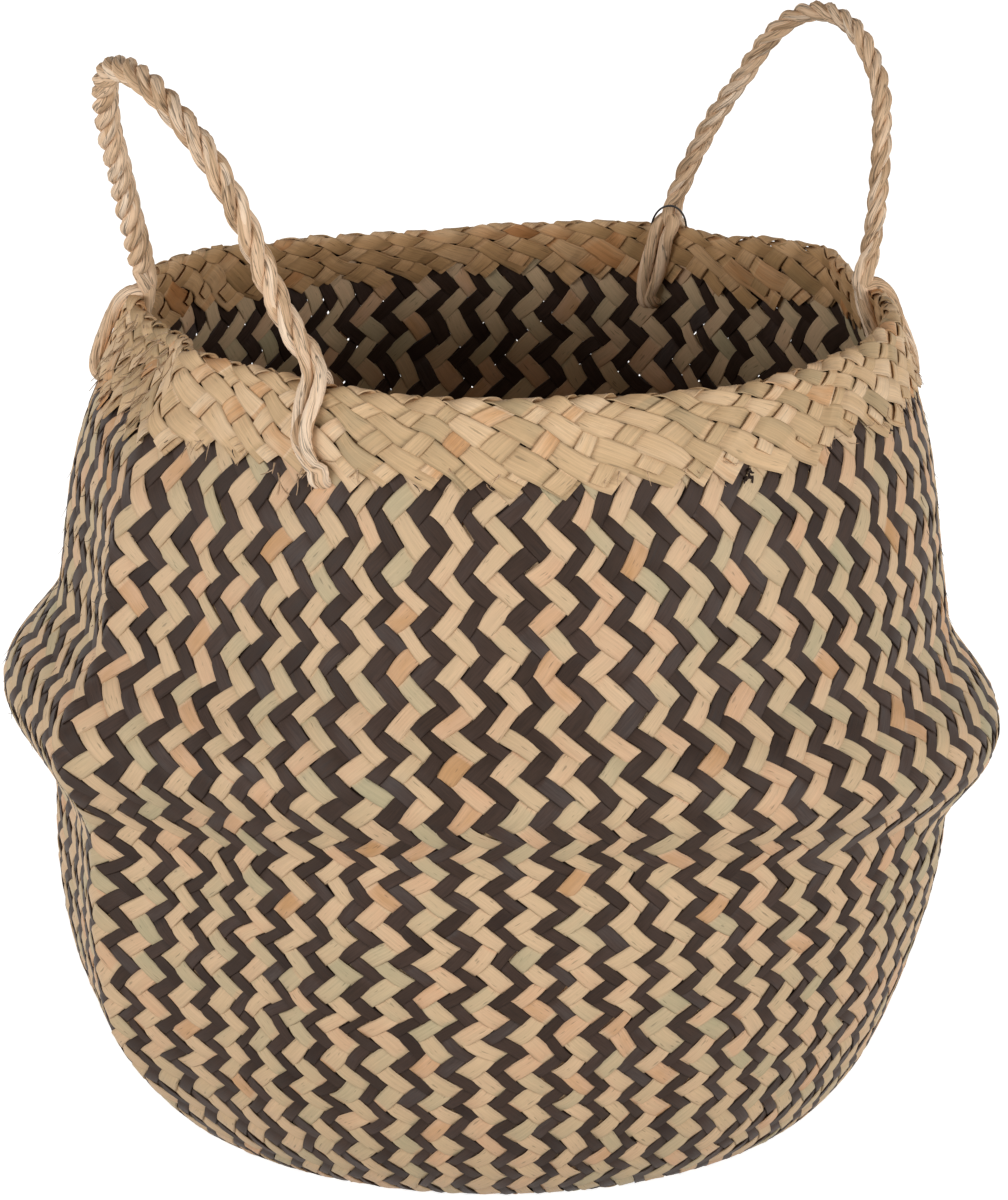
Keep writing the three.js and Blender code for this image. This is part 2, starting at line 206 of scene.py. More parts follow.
# Loose points that each stand for one strip, with numbers that the plait tree reads
def stripMesh(name, **numbers):
    count = len(numbers["strip"])
    mesh = bpy.data.meshes.new(name)
    mesh.from_pydata([(0, 0, 0)] * count, [], [])
    for key, values in numbers.items():
        attribute = mesh.attributes.new(key, "FLOAT", "POINT")
        attribute.data.foreach_set("value", np.full(count, values, np.float32))
    return mesh


# Materials
def hexColour(code):
    parts = [int(code[i:i + 2], 16) / 255 for i in (1, 3, 5)]
    return (*[c / 12.92 if c <= 0.04045 else ((c + 0.055) / 1.055) ** 2.4 for c in parts], 1)


def newMaterial(name):
    material = bpy.data.materials.new(name)
    material.use_nodes = True
    tree = material.node_tree
    tree.nodes.clear()
    return material, tree


def setRamp(output, stops):
    ramp = output.node.color_ramp
    while len(ramp.elements) < len(stops):
        ramp.elements.new(0.5)
    for element, (place, code) in zip(ramp.elements, stops):
        element.position = place
        element.color = hexColour(code)


# settings and sizes that the materials share
multiplied = {"data_type": "RGBA", "blend_type": "MULTIPLY"}
usual = (0.3, 0.7)  # nearly all of a noise lies between these
blotchSize = (9, 22)  # across and along a strip
fleckSize = (0.9, 6)


# Seagrass blades split flat: satin, with streaks and flecks along them, some blades greener or redder
def stripMaterial(name, look):
    material, tree = newMaterial(name)
    uv = addNode(tree, "ShaderNodeUVMap", uv_map="UVMap")[0]
    tone, across, level = [addNode(tree, "ShaderNodeAttribute", attribute_name=field)["Fac"]
                           for field in ("tone", "across", "level")]
    places = [addNode(tree, "ShaderNodeMapping", uv, None, None, (1 / width, 1 / length, 1))[0]
              for width, length in (look["streak"], blotchSize, fleckSize)]
    streak = addNode(tree, "ShaderNodeTexNoise", places[0], None, 1.0, 3.0, 0.6)[0]
    blotch = addNode(tree, "ShaderNodeTexNoise", places[1], None, 1.0, 2.0, 0.5)[0]
    mixed = addNode(tree, "ShaderNodeMath", blotch, look["blotch"], tone, operation="MULTIPLY_ADD")[0]
    shifted = addNode(tree, "ShaderNodeMath", mixed, look["blotch"] / 2, operation="SUBTRACT")[0]
    base = addNode(tree, "ShaderNodeValToRGB", shifted)[0]
    setRamp(base, look["tones"])
    shade = addNode(tree, "ShaderNodeMapRange", streak, *usual, look["streakDark"], look["streakLight"])[0]

    # flecks: short dark fibres, about as fine as real ones can be seen
    fleck = addNode(tree, "ShaderNodeTexNoise", places[2], None, 1.0, 0.0)[0]
    fleck = addNode(tree, "ShaderNodeMapRange", fleck, 0.72, 0.8, 1, look["fleck"])[0]
    shade = addNode(tree, "ShaderNodeMath", shade, fleck, operation="MULTIPLY")[0]

    # darker along the edges: partly the blades' own browner cut edges, partly painted shade, the thin shadow
    # lines where floats lie over each other
    edge = addNode(tree, "ShaderNodeMath", across, operation="ABSOLUTE")[0]
    edge = addNode(tree, "ShaderNodeMapRange", edge, 0.72, 0.9, 1, look["edge"])[0]
    shade = addNode(tree, "ShaderNodeMath", shade, edge, operation="MULTIPLY")[0]
    colour = addNode(tree, "ShaderNodeMix", named={0: 1.0, 6: base, 7: shade}, **multiplied)[2]

    # painted shade: the inner side is multiplied to a darker brown
    inner = addNode(tree, "ShaderNodeMapRange", level, 0.5, 0.62, 0, look["inner"])[0]
    brown = hexColour("#deceba")
    colour = addNode(tree, "ShaderNodeMix", named={0: inner, 6: colour, 7: brown}, **multiplied)[2]
    bump = addNode(tree, "ShaderNodeBump", look["bump"], 0.0004, None, streak)[0]
    roughRange = (look["rough"] - 0.08, look["rough"] + 0.08)
    rough = addNode(tree, "ShaderNodeMapRange", streak, *usual, *roughRange)[0]
    shader = addNode(tree, "ShaderNodeBsdfPrincipled",
                     named={"Base Color": colour, "Roughness": rough, "Normal": bump, "IOR": 1.45,
                            "Specular IOR Level": look["specular"]})[0]
    addNode(tree, "ShaderNodeOutputMaterial", shader)
    return material


naturalLook = {
    "tones": [(0.0, "#b9ad8b"), (0.22, "#c9b592"), (0.42, "#d5b994"), (0.62, "#dcbd99"),
              (0.82, "#dab28e"), (1.0, "#c79a6c")],
    "streak": (0.7, 26), "streakDark": 0.87, "streakLight": 1.06, "blotch": 0.4,
    "fleck": 0.62, "edge": 0.82, "inner": 0, "bump": 0.35, "rough": 0.58, "specular": 0.35,
}
borderLook = {
    "tones": [(0.0, "#bba581"), (0.25, "#d0b188"), (0.5, "#e0bf96"), (0.72, "#efd2ae"),
              (0.88, "#dcae80"), (1.0, "#c69465")],
    "streak": (0.8, 20), "streakDark": 0.8, "streakLight": 1.08, "blotch": 0.5,
    # the border's inner side gets painted shade, a darker brown
    "fleck": 0.66, "edge": 0.8, "inner": 1, "bump": 0.5, "rough": 0.62, "specular": 0.3,
}
dyedLook = {
    # the paler grey-brown end of these tones, laid on in patches, is painted sheen
    "tones": [(0.0, "#2c1f19"), (0.4, "#382a22"), (0.75, "#42332c"), (1.0, "#4a403c")],
    "streak": (0.8, 14), "streakDark": 0.7, "streakLight": 1.3, "blotch": 0.7,
    "fleck": 0.8, "edge": 0.8, "inner": 0, "bump": 0.35, "rough": 0.55, "specular": 0.2,
}
naturalSeagrass = stripMaterial("naturalSeagrass", naturalLook)
borderSeagrass = stripMaterial("borderSeagrass", borderLook)  # blades with their rough outer side
# boiled in a brown-black dye, which leaves a dull gloss; the paler grey-brown patches in its tones are
# painted sheen
dyedSeagrass = stripMaterial("dyedSeagrass", dyedLook)


# Seagrass twisted into cord: flat blades lie along each ply, some paler, with dark lines between them that
# are painted shade in the grooves where they meet
bladeScale = (1.5, 1.5, 0.04)  # blades about 2 mm wide and 25 mm long


def cordMaterial(name, tones):
    material, tree = newMaterial(name)
    fibre = addNode(tree, "ShaderNodeAttribute", attribute_name="fibre")["Vector"]
    places = [addNode(tree, "ShaderNodeMapping", fibre, None, None, scale)[0]
              for scale in ((1.6, 1.6, 1 / 34), bladeScale, (0.75, 0.75, 1 / 26))]
    streak = addNode(tree, "ShaderNodeTexNoise", places[0], None, 2.2, 3.0, 0.6)[0]
    blade = addNode(tree, "ShaderNodeTexNoise", places[1], None, 1.0, 1.0, 0.5)[0]
    blade = addNode(tree, "ShaderNodeMath", blade, 0.5, operation="SUBTRACT")[0]
    blade = addNode(tree, "ShaderNodeMath", blade, operation="ABSOLUTE")[0]
    # painted shade: dark lines where the blades meet, along the same lines that the cord tree sinks as
    # grooves
    line = addNode(tree, "ShaderNodeMapRange", blade, 0.006, 0.032, 0.36, 1.0)[0]
    patch = addNode(tree, "ShaderNodeTexVoronoi", places[2], None, 1.0)[1]
    patchTone = addNode(tree, "ShaderNodeSeparateXYZ", patch)[0]
    toned = addNode(tree, "ShaderNodeMath", streak, 0.5, patchTone, operation="MULTIPLY_ADD")[0]
    place = addNode(tree, "ShaderNodeMapRange", toned, 0.15, 1.35, 0, 1)[0]
    base = addNode(tree, "ShaderNodeValToRGB", place)[0]
    setRamp(base, tones)
    dark = addNode(tree, "ShaderNodeMapRange", streak, 0.32, 0.5, 0.62, 1.05)[0]
    dark = addNode(tree, "ShaderNodeMath", dark, line, operation="MULTIPLY")[0]
    streaked = addNode(tree, "ShaderNodeMix", named={0: 1.0, 6: base, 7: dark}, **multiplied)[2]
    bump = addNode(tree, "ShaderNodeBump", 0.8, 0.0009, None, streak)[0]
    shader = addNode(tree, "ShaderNodeBsdfPrincipled",
                     named={"Base Color": streaked, "Roughness": 0.68, "Normal": bump, "IOR": 1.45,
                            "Specular IOR Level": 0.3})[0]
    addNode(tree, "ShaderNodeOutputMaterial", shader)
    return material


cordTones = [(0.0, "#bd9b79"), (0.3, "#dcba96"), (0.6, "#efcfae"), (0.85, "#f6dcc0"), (1.0, "#f9e4cb")]
twistedSeagrass = cordMaterial("twistedSeagrass", cordTones)
dyedFibre = cordMaterial("dyedFibre", [(0.0, "#2c1f19"), (1.0, "#57453a")])  # torn ends of the dyed blades


# Waxed cotton thread: near black, soft sheen
def threadMaterial():
    material, tree = newMaterial("waxedThread")
    place = addNode(tree, "ShaderNodeTexCoord")["Object"]
    twist = addNode(tree, "ShaderNodeTexWave", place, 900.0, 1.5, 2.0)[1]
    bump = addNode(tree, "ShaderNodeBump", 0.4, 0.0001, None, twist)[0]
    shader = addNode(tree, "ShaderNodeBsdfPrincipled",
                     named={"Base Color": hexColour("#1d1b1e"), "Roughness": 0.6, "Normal": bump})[0]
    addNode(tree, "ShaderNodeOutputMaterial", shader)
    return material


waxedThread = threadMaterial()
print("materials ready")


# Plait tree: flat strips over and under each other on a guide surface
# Every strip runs along q, one unit for each strip that it crosses, and a runs across it from 0 to 1.
# The outside shows it for two units and hides it for two, which draws the zigzag columns.
def plaitTree():
    tree, given = newTree("seagrassPlait", {
        "Object": ["Guide"],
        "Int": ["Segments"],
        "Float": ["Columns", "Rows", "Width", "LowWidth", "WidthChange", "SideShift", "Thickness", "Lift",
                  "Tilt", "Sway", "Lean", "Period", "StripSize", "Seed"],
        "Material": ["Finish"],
    })
    tube = addNode(tree, "GeometryNodeMeshCylinder", 6, given["Segments"], 1, 1.0, 1.0,
                   fill_type="NGON")["Mesh"]
    strips = addNode(tree, "GeometryNodeInstanceOnPoints", given["Geometry"], None, tube)[0]
    strips = addNode(tree, "GeometryNodeRealizeInstances", strips)[0]
    family, strip, start, end = [addNode(tree, "GeometryNodeInputNamedAttribute", name, data_type="FLOAT")[0]
                                 for name in ("family", "strip", "start", "end")]
    position = addNode(tree, "GeometryNodeInputPosition")[0]
    x, y, z = addNode(tree, "ShaderNodeSeparateXYZ", position)
    q = addNode(tree, "ShaderNodeMapRange", z, -0.5, 0.5, start, end, clamp=False)[0]

    # six-sided section with flat faces and narrow rounded edges
    side = addNode(tree, "ShaderNodeMath", x, operation="SIGN")[0]
    spread = addNode(tree, "ShaderNodeMath", x, operation="ABSOLUTE")[0]
    spread = addNode(tree, "ShaderNodeMath", spread, 0.15, operation="POWER")[0]
    across = addNode(tree, "ShaderNodeMath", side, spread, operation="MULTIPLY")[0]

    # each float has its own width, side shift and tilt
    row = addNode(tree, "ShaderNodeMath", family, 41.7, strip, operation="MULTIPLY_ADD")[0]
    rowPlace = addNode(tree, "ShaderNodeMath", row, 7.31, operation="MULTIPLY")[0]
    floatPlace = addNode(tree, "ShaderNodeMath", q, 0.13, operation="MULTIPLY")[0]
    change = addNode(tree, "ShaderNodeCombineXYZ", rowPlace, floatPlace, given["Seed"])[0]
    change = addNode(tree, "ShaderNodeTexNoise", change, None, 1.0, 1.0)[1]
    change = addNode(tree, "ShaderNodeVectorMath", change, (0.5, 0.5, 0.5), operation="SUBTRACT")[0]
    widthNoise, shiftNoise, tiltNoise = addNode(tree, "ShaderNodeSeparateXYZ", change)
    upTo = addNode(tree, "ShaderNodeMath", q, given["Rows"], operation="DIVIDE")[0]
    width = addNode(tree, "ShaderNodeMapRange", upTo, 0.6, 1.2, given["LowWidth"], given["Width"])[0]
    width = addNode(tree, "ShaderNodeMath", widthNoise, given["WidthChange"], width,
                    operation="MULTIPLY_ADD")[0]
    half = addNode(tree, "ShaderNodeMath", width, 0.5, operation="MULTIPLY")[0]
    a = addNode(tree, "ShaderNodeMath", across, half, 0.5, operation="MULTIPLY_ADD")[0]
    a = addNode(tree, "ShaderNodeMath", shiftNoise, given["SideShift"], a, operation="MULTIPLY_ADD")[0]

    # column and row on the plait
    r = addNode(tree, "ShaderNodeMath", q, a, operation="ADD")[0]
    r = addNode(tree, "ShaderNodeMath", r, 0.5, operation="MULTIPLY")[0]
    c = addNode(tree, "ShaderNodeMath", a, q, operation="SUBTRACT")[0]
    c = addNode(tree, "ShaderNodeMath", c, 0.5, strip, operation="MULTIPLY_ADD")[0]
    c = addNode(tree, "ShaderNodeMath", c, family, operation="MULTIPLY")[0]
    c = addNode(tree, "ShaderNodeMath", r, given["Lean"], c, operation="MULTIPLY_ADD")[0]

    # the whole plait sways a little, both families alike
    around = addNode(tree, "ShaderNodeMath", c, given["Columns"], operation="DIVIDE")[0]
    angle = addNode(tree, "ShaderNodeMath", around, turn, operation="MULTIPLY")[0]
    ringX = addNode(tree, "ShaderNodeMath", angle, operation="COSINE")[0]
    ringY = addNode(tree, "ShaderNodeMath", angle, operation="SINE")[0]
    ringZ = addNode(tree, "ShaderNodeMath", r, 0.05, operation="MULTIPLY")[0]
    sway = addNode(tree, "ShaderNodeCombineXYZ", ringX, ringY, ringZ)[0]
    sway = addNode(tree, "ShaderNodeTexNoise", sway, None, 4.5, 1.0)[1]
    sway = addNode(tree, "ShaderNodeVectorMath", sway, (0.5, 0.5, 0.5), operation="SUBTRACT")[0]
    swayC, swayR, _ = addNode(tree, "ShaderNodeSeparateXYZ", sway)
    c = addNode(tree, "ShaderNodeMath", swayC, given["Sway"], c, operation="MULTIPLY_ADD")[0]
    r = addNode(tree, "ShaderNodeMath", swayR, given["Sway"], r, operation="MULTIPLY_ADD")[0]

    # over and under, with a crowned float
    phase = addNode(tree, "ShaderNodeMath", q, turn, operation="MULTIPLY")[0]
    phase = addNode(tree, "ShaderNodeMath", phase, given["Period"], operation="DIVIDE")[0]
    level = addNode(tree, "ShaderNodeMath", phase, operation="SINE")[0]
    level = addNode(tree, "ShaderNodeMapRange", level, -0.7, 0.7, -1, 1)[0]
    level = addNode(tree, "ShaderNodeMath", level, family, operation="MULTIPLY")[0]
    height = addNode(tree, "ShaderNodeMath", y, given["Thickness"], operation="MULTIPLY")[0]
    height = addNode(tree, "ShaderNodeMath", level, given["Lift"], height, operation="MULTIPLY_ADD")[0]
    tilt = addNode(tree, "ShaderNodeMath", tiltNoise, across, operation="MULTIPLY")[0]
    height = addNode(tree, "ShaderNodeMath", tilt, given["Tilt"], height, operation="MULTIPLY_ADD")[0]

    # laid on the guide surface through its UV map
    guide = addNode(tree, "GeometryNodeObjectInfo", given["Guide"], transform_space="ORIGINAL")["Geometry"]
    place = addNode(tree, "ShaderNodeMath", c, given["Columns"], operation="DIVIDE")[0]
    place = addNode(tree, "ShaderNodeMath", place, operation="FRACT")[0]
    up = addNode(tree, "ShaderNodeMath", r, given["Rows"], operation="DIVIDE")[0]
    up = addNode(tree, "ShaderNodeClamp", up, 0.0005, 0.9995)[0]
    at = addNode(tree, "ShaderNodeCombineXYZ", place, up, 0.0)[0]
    guideMap = addNode(tree, "GeometryNodeInputNamedAttribute", "UVMap", data_type="FLOAT_VECTOR")[0]
    point, normal = [addNode(tree, "GeometryNodeSampleUVSurface", guide, field, guideMap, at,
                             data_type="FLOAT_VECTOR")[0]
                     for field in (position, addNode(tree, "GeometryNodeInputNormal")[0])]
    raised = addNode(tree, "ShaderNodeVectorMath", normal, named={3: height}, operation="SCALE")[0]
    target = addNode(tree, "ShaderNodeVectorMath", point, raised, operation="ADD")[0]

    # for the material: a map in millimetres and a tone for each float
    size = given["StripSize"]
    mapX = addNode(tree, "ShaderNodeMath", across, size, operation="MULTIPLY")[0]
    mapX = addNode(tree, "ShaderNodeMath", mapX, 0.5, operation="MULTIPLY")[0]
    mapX = addNode(tree, "ShaderNodeMath", row, 37.0, mapX, operation="MULTIPLY_ADD")[0]
    mapY = addNode(tree, "ShaderNodeMath", q, size, operation="MULTIPLY")[0]
    stripMap = addNode(tree, "ShaderNodeCombineXYZ", mapX, mapY, 0.0)[0]
    float01 = addNode(tree, "ShaderNodeMath", q, 0.5, operation="MULTIPLY")[0]
    floatIndex = addNode(tree, "ShaderNodeMath", float01, operation="FLOOR")[0]
    floatSeed = addNode(tree, "ShaderNodeCombineXYZ", row, floatIndex, 0.0)[0]
    floatTone = addNode(tree, "ShaderNodeTexWhiteNoise", floatSeed, noise_dimensions="2D")[0]
    rowTone = addNode(tree, "ShaderNodeTexWhiteNoise", None, row, noise_dimensions="1D")[0]
    tone = addNode(tree, "ShaderNodeMix", 0.45, data_type="FLOAT", named={2: floatTone, 3: rowTone})[0]
    laid = addNode(tree, "GeometryNodeStoreNamedAttribute", strips, None, "UVMap", stripMap,
                   data_type="FLOAT2", domain="CORNER")[0]
    for name, value in (("tone", tone), ("across", across), ("level", up)):
        laid = addNode(tree, "GeometryNodeStoreNamedAttribute", laid, None, name, value,
                       data_type="FLOAT", domain="POINT")[0]
    laid = addNode(tree, "GeometryNodeSetPosition", laid, None, target)[0]
    laid = addNode(tree, "GeometryNodeSetMaterial", laid, None, given["Finish"])[0]
    addNode(tree, "NodeGroupOutput", laid)
    return tree


seagrassPlait = plaitTree()
# half of 0.8 mm, to the corners of the six-sided section
thickness = 0.8 * mm / 2 / 0.866
# the four sets of strips in the twill: name, direction, which strips and finish
twillSets = (("NaturalFalling", 1, 0, naturalSeagrass), ("NaturalRising", -1, 0, naturalSeagrass),
             ("DyedFalling", 1, 1, dyedSeagrass), ("DyedRising", -1, 1, dyedSeagrass))


# Removes what only the tree needed and sets which edges stay crisp
def finishStrips(piece):
    for name in ("family", "strip", "start", "end"):
        piece.data.attributes.remove(piece.data.attributes[name])
    piece.data.set_sharp_from_angle(angle=np.radians(38))
    return piece


# Plaited wall: 60 zigzag columns, from under the base to under the border
wall = {
    "strips": 120, "pairLow": 12.4, "pairHigh": 14.1, "steepest": 60, "top": 339.5, "tuck": 16,
    "middle": 1.7,  # the wall's middle above the floor, under the base
    "lean": -0.09,  # of a column for each row, above the bowl
    "segmentsPerFloat": 6,
    # natural and dyed strips, the widths as shares of the room that a strip has
    "lowWidth": (1.18, 0.82), "width": (1.06, 0.94), "lift": (0.82, 0.74),
}
shares = np.linspace(-0.01, 1.01, 368)  # of the way around, a little past the seam at both ends


def wallGuide():
    b = body
    z = np.concatenate([np.zeros(40), np.linspace(0, 1, 4000) ** 1.6 * (b["height"] + 6)])
    radius = plainRadius(z)
    radius[:40] = np.linspace(b["baseRadius"] - wall["tuck"], b["baseRadius"], 40)
    lowered = np.hypot(z, wall["middle"])
    ridge = (b["ridgeSide"] + b["ridgeFront"]) / 2
    crease = (b["creaseSide"] + b["creaseFront"]) / 2
    bulge = (b["foldSide"] + b["foldFront"]) / 2
    bulge = bulge * wave((z - ridge) / np.where(z > ridge, b["flankHeight"], ridge - crease))
    full = radius + bulge
    step = np.hypot(np.diff(full), np.diff(lowered))
    pitch = turn * full / (wall["strips"] / 2)
    pair = wall["pairLow"] + (wall["pairHigh"] - wall["pairLow"]) * smoothstep(z, 140, 180)
    slope = np.arcsin(np.minimum(pair / pitch, np.sin(np.radians(wall["steepest"]))))
    rowHeight = pitch * np.tan(slope) / 2
    rows = np.concatenate([[0], np.cumsum(step / rowHeight[1:])])
    length = np.concatenate([[0], np.cumsum(step)])
    pick = np.interp(np.linspace(0, length[-1], 230), length, np.arange(len(length)))
    steps = np.arange(len(z))
    z, radius, lowered, level = (np.interp(pick, steps, values) for values in (z, radius, lowered, rows))
    lean = np.cumsum(np.diff(level, prepend=0) * smoothstep(z, 90, 150))
    lean = wall["lean"] * turn / wall["strips"] * lean
    angle = shares[None, :] * turn - np.pi / 2 + lean[:, None]
    points = toBasket(angle, radius[:, None], z[:, None])
    points[..., 2] = lowered[:, None]
    uv = np.stack(np.broadcast_arrays(shares[None, :], (level / rows[-1])[:, None]), -1)
    topRow = np.interp(wall["top"], z, level)
    return gridMesh("wallGuide", points, uv), rows[-1], topRow


guide, rows, topRow = wallGuide()
print("wall rows", round(float(rows), 1), "used", round(float(topRow), 1))
wallPieces = []
first = 0.6
last = 2 * topRow - 1
segments = int((last - first) / 2 * wall["segmentsPerFloat"])
for name, family, parity, finish in twillSets:
    strip = np.arange(parity, wall["strips"], 2)
    points = stripMesh("plait" + name, strip=strip, family=family, start=first, end=last)
    piece = grow("plait" + name, points, seagrassPlait, Guide=guide, Columns=float(wall["strips"]),
                 Rows=float(rows), Segments=segments, LowWidth=wall["lowWidth"][parity],
                 Width=wall["width"][parity], WidthChange=0.5, SideShift=0.3, Thickness=thickness,
                 Lift=wall["lift"][parity] * mm, Tilt=1.3 * mm, Sway=1.3, Lean=0.0, Period=4.0,
                 StripSize=8.0, Seed=3.0, Finish=finish)
    wallPieces.append(finishStrips(piece))
bpy.data.objects.remove(guide)
print("wall plaited")


# Flat plait under the base, tucked inside the start of the wall
base = {
    "radius": 119, "height": 3.1, "step": 11,
    "half": 16,  # steps from the middle to the guide's edge
}


def basePlait():
    side = np.linspace(-base["half"], base["half"], 33)
    x, y = np.meshgrid(side * base["step"], side * base["step"])
    points = np.stack([x, y, np.full_like(x, base["height"])], -1)
    full = 2.0 * base["half"]
    share = (side + base["half"]) / full
    uv = np.stack(np.meshgrid(share, share), -1)
    guide = gridMesh("baseGuide", points, uv)
    pieces = []
    for name, family, parity, finish in twillSets:
        strip = np.arange(-40 + parity, 80, 2)
        centre = strip + 0.5 - full if family > 0 else strip + 0.5
        away = centre / np.sqrt(2) * base["step"]
        inside = np.abs(away) < base["radius"] - 3
        strip = strip[inside]
        half = np.sqrt(base["radius"] ** 2 - away[inside] ** 2) * np.sqrt(2) / base["step"]
        middle = strip if family > 0 else strip + full
        points = stripMesh("base" + name, strip=strip, family=family, start=middle - half,
                           end=middle + half)
        piece = grow("base" + name, points, seagrassPlait, Guide=guide, Columns=full, Rows=full, Segments=72,
                     Width=0.95, LowWidth=0.95, WidthChange=0.3, SideShift=0.1, Thickness=thickness,
                     Lift=0.7 * mm, Tilt=1.0 * mm, Sway=0.0, Lean=0.0, Period=4.0, StripSize=8.0,
                     Seed=9.0, Finish=finish)
        pieces.append(finishStrips(piece))
    bpy.data.objects.remove(guide)
    return pieces


basePieces = basePlait()
print("base plaited")


# Border: broad natural strips folded over the top edge
border = {
    "strips": 60, "outside": 30, "inside": 22, "over": 2.7, "rowHeight": 13.0, "rowAtEdge": 8.0,
    "margin": 10, "segments": 84, "lean": -0.27, "drop": 2.1,
    # the edge's waves, each with its rise, its middle and its reach in degrees
    "waves": ((3.5, 225, 24), (-3.2, 190, 24), (-1.5, 310, 45), (3.4, 149, 22), (-3.0, 112, 38),
              (-1.0, 90, 30), (2.4, 66, 16), (3.2, 38, 18)),
}


def borderGuide():
    o = border["over"]
    top = body["height"] - border["drop"]
    outside = np.linspace(border["outside"] + border["margin"], 0, 26)
    bend = np.linspace(0, np.pi, 14)[1:-1]
    inside = np.linspace(0, border["inside"] + border["margin"], 20)
    flat = np.concatenate([np.stack([np.full(26, o), -outside], -1),
                           np.stack([o * np.cos(bend), o * np.sin(bend) * 0.8], -1),
                           np.stack([np.full(20, -o), -inside], -1)])
    step = np.hypot(*np.diff(flat, axis=0).T)
    widening = (border["rowHeight"] - border["rowAtEdge"]) * smoothstep(-flat[1:, 1], 1, 14)
    rowHeight = border["rowAtEdge"] + widening
    level = np.concatenate([[0], np.cumsum(step / rowHeight)])
    angle = np.broadcast_to(shares[None, :] * turn - np.pi / 2, (len(flat), len(shares)))
    z = top + flat[:, 1]
    radius = plainRadius(np.minimum(z, body["height"])) + flat[:, 0]
    uneven = 0.5 * np.sin(9 * angle + 1) + 0.4 * np.sin(23 * angle + 2)
    for rise, middle, reach in border["waves"]:
        uneven = uneven + rise * wave(((np.degrees(angle) - middle + 180) % 360 - 180) / reach)
    points = toBasket(angle, radius[:, None], z[:, None])
    points[..., 2] += uneven * smoothstep(z, top - 20, top)[:, None]
    uv = np.stack(np.broadcast_arrays(shares[None, :], (level / level[-1])[:, None]), -1)
    first = np.interp(border["margin"], np.cumsum(step), level[1:])
    last = np.interp(step.sum() - border["margin"], np.cumsum(step), level[1:])
    return gridMesh("borderGuide", points, uv), level[-1], first, last


guide, rowCount, firstRow, lastRow = borderGuide()
borderPieces = []
random = np.random.default_rng(5)
for name, family in (("borderFalling", 1), ("borderRising", -1)):
    strip = np.arange(border["strips"])
    shorter = 0 if family > 0 else 0.35
    first = 2 * firstRow - 0.5 + shorter + random.uniform(-0.4, 0.4, len(strip))
    last = 2 * lastRow - 0.5 - shorter + random.uniform(-0.4, 0.4, len(strip))
    points = stripMesh(name, strip=strip, family=family, start=first, end=last)
    width = 1.02 if family > 0 else 0.62
    piece = grow(name, points, seagrassPlait, Guide=guide, Columns=float(border["strips"]),
                 Rows=float(rowCount), Segments=border["segments"], Width=width, LowWidth=width,
                 WidthChange=0.45, SideShift=0.3, Period=2.0, Thickness=thickness, Lift=0.75 * mm,
                 Tilt=2.2 * mm, Sway=1.0, Lean=border["lean"], StripSize=9.0, Seed=21.0,
                 Finish=borderSeagrass)
    borderPieces.append(finishStrips(piece))
bpy.data.objects.remove(guide)
print("border plaited")


# Rope handles. Each foot has its angle on the rim, how far inside the wall's middle the rope starts, its
# hole as (depth, along) and its two strands as (depth, out, along), from the rope down to the hole.
strandSides = (1, -1)
hiddenOutside = [[(-4, 3, s * 2), (3, 5.5, s * 3), (14, 5.5, 5 + s * 2.6), (26, 5.5, 9 + s * 2)]
                 for s in strandSides]
hiddenInside = [[(-2.5, -5, s * 2), (6, -5.5, s * 2.4), (16, -5.5, s * 2.4), (27, -5.5, s * 2)]
                for s in strandSides]
# the arch holds points of the rope's centre line, as (along, up) from the middle between the feet
handle = {"legRadius": 2.75, "bend": 5.2, "pivotHeight": 352.7, "offset": 1.08, "skip": 5}
handles = {
    "left": {
        "feet": {
            "back": {
                "angle": 171, "inset": 3, "hole": (38, 0), "inside": hiddenInside,
                "outside": [[(-2, -4.5, s * 2), (-0.5, -0.5, s * 2), (2.5, 3.6, s * 2), (8, 6, s * 2),
                             (17, 6.6, s * 2), (28, 6.2, s * 2)] for s in strandSides],
            },
            "front": {
                "angle": 241, "inset": 0, "hole": (37, 10), "inside": hiddenInside,
                "outside": [[(-5.4, 4.4, 4.8), (4, 6.6, 5.2), (10, 7, 4), (17, 7, 2.8), (25, 6.4, 4.2),
                             (31, 5.6, 8.5)],
                            [(-4.4, 4, -1), (4, 5.6, -1.8), (13, 5.2, -2.1), (22, 5.2, -0.8), (30, 5, 5)]],
            },
        },
        "lean": 22, "ply": 2.65, "twist": (27, 44),
        "arch": [(89.5, 0), (84, 10), (76, 26), (69, 44), (61, 60), (54, 76), (44, 91), (31, 104),
                 (15, 112.5), (-2, 115.5), (-19, 114.5), (-34, 109.5), (-48, 101.5), (-60, 92), (-68, 79),
                 (-73, 62), (-74, 44), (-74.5, 30), (-78, 17), (-84, 8), (-89.5, 0)],
    },
    "right": {
        "feet": {
            "back": {
                "angle": 63.5, "inset": 0, "hole": (37, 12.5), "outside": hiddenOutside,
                "inside": [[(-5, -4, 2.8), (9, -6.4, 7.4), (21, -6.4, 11.5), (30, -5.4, 13.6)],
                           [(-6, -4, -4), (1, -5, -1.4), (9, -4.6, 1.4), (21, -4.6, 6), (30, -5, 10.8)]],
            },
            "front": {
                "angle": 11, "inset": 4, "hole": (41, 0), "inside": hiddenInside,
                "outside": [[(-4, -4.2, s * 2), (-2.6, -0.4, s * 2), (0.5, 3.4, s * 2), (6, 5.2, s * 2),
                             (16, 5.8, s * 2), (28, 6.2, s * 2)] for s in strandSides],
            },
        },
        "lean": 12, "ply": 2.05, "twist": (32, 28),
        "arch": [(68.7, 0), (65, 10), (58.5, 27), (48, 47), (34.5, 66), (21, 85), (6, 96.5), (-12, 101.5),
                 (-31, 98.5), (-47, 88.5), (-58, 75), (-63.5, 59), (-67, 42), (-69.5, 23), (-70, 10),
                 (-68.7, 0)],
    },
}


